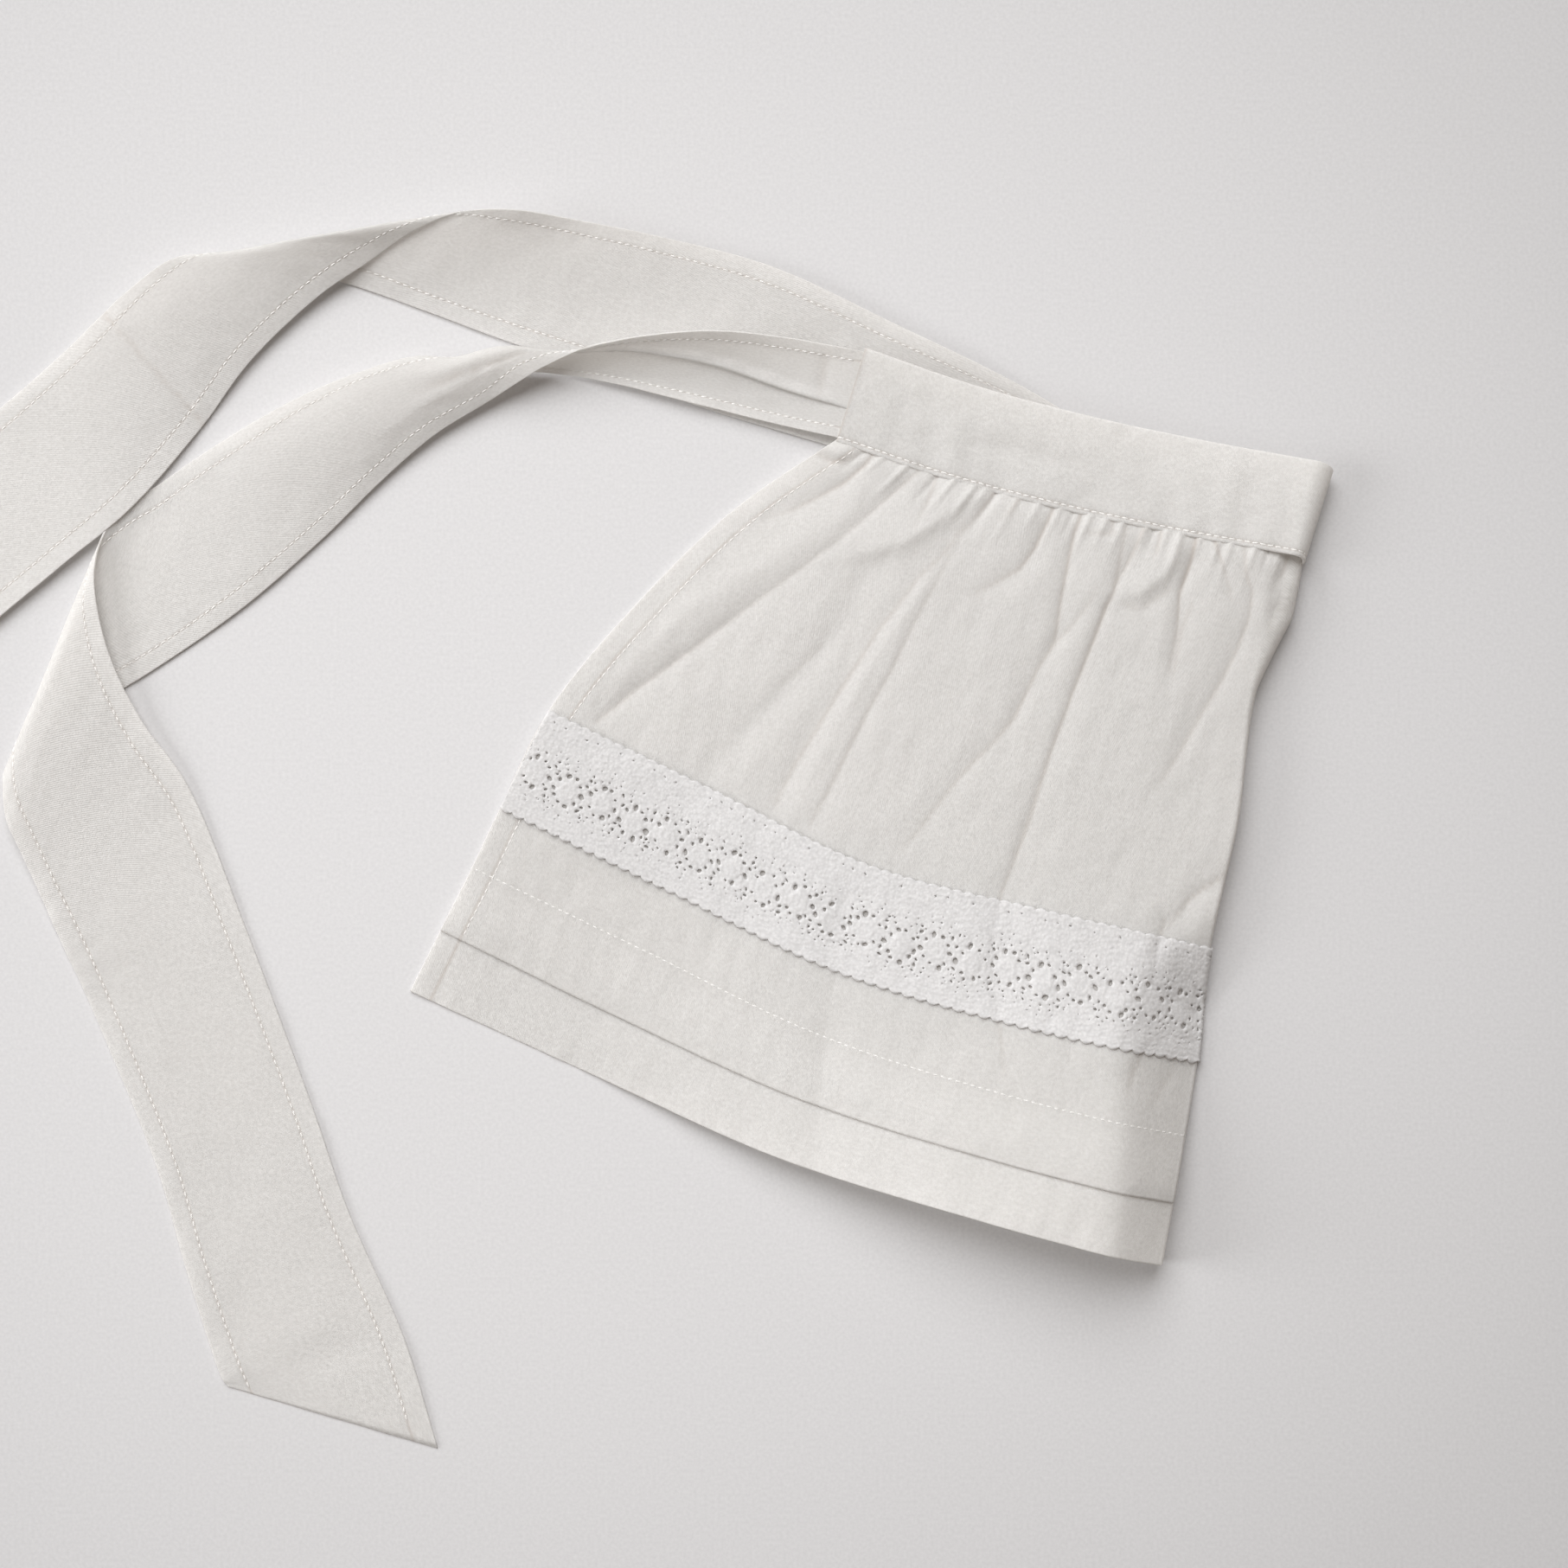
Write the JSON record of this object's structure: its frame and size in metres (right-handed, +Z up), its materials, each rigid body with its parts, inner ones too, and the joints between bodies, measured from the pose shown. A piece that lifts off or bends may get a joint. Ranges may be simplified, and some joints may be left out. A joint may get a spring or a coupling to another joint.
{
  "type": "child's half apron",
  "caption": "White cotton half apron with a waistband, gathered lace-trimmed skirt and long ties, folded once and laid flat; ties round a small child's waist.",
  "frame": {"origin": "on the surface the apron lies on, below the middle of its outline box, ties included", "axes": "+X along the longest run of the lay, from the tie ends to the folded edge; +Y towards the waistband; +Z up from the surface"},
  "size_m": [0.5423, 0.3995, 0.0164],
  "materials": {
    "cotton_drill": "matte white cotton twill, slightly warm",
    "cotton_lace": "matte white cotton bobbin lace, slightly cool"
  },
  "bodies": {
    "root": {"waistband": "cotton_drill", "skirt_panel": "cotton_drill", "lace_band": "cotton_lace", "front_tie": "cotton_drill", "back_tie": "cotton_drill"}
  },
  "joints": []
}
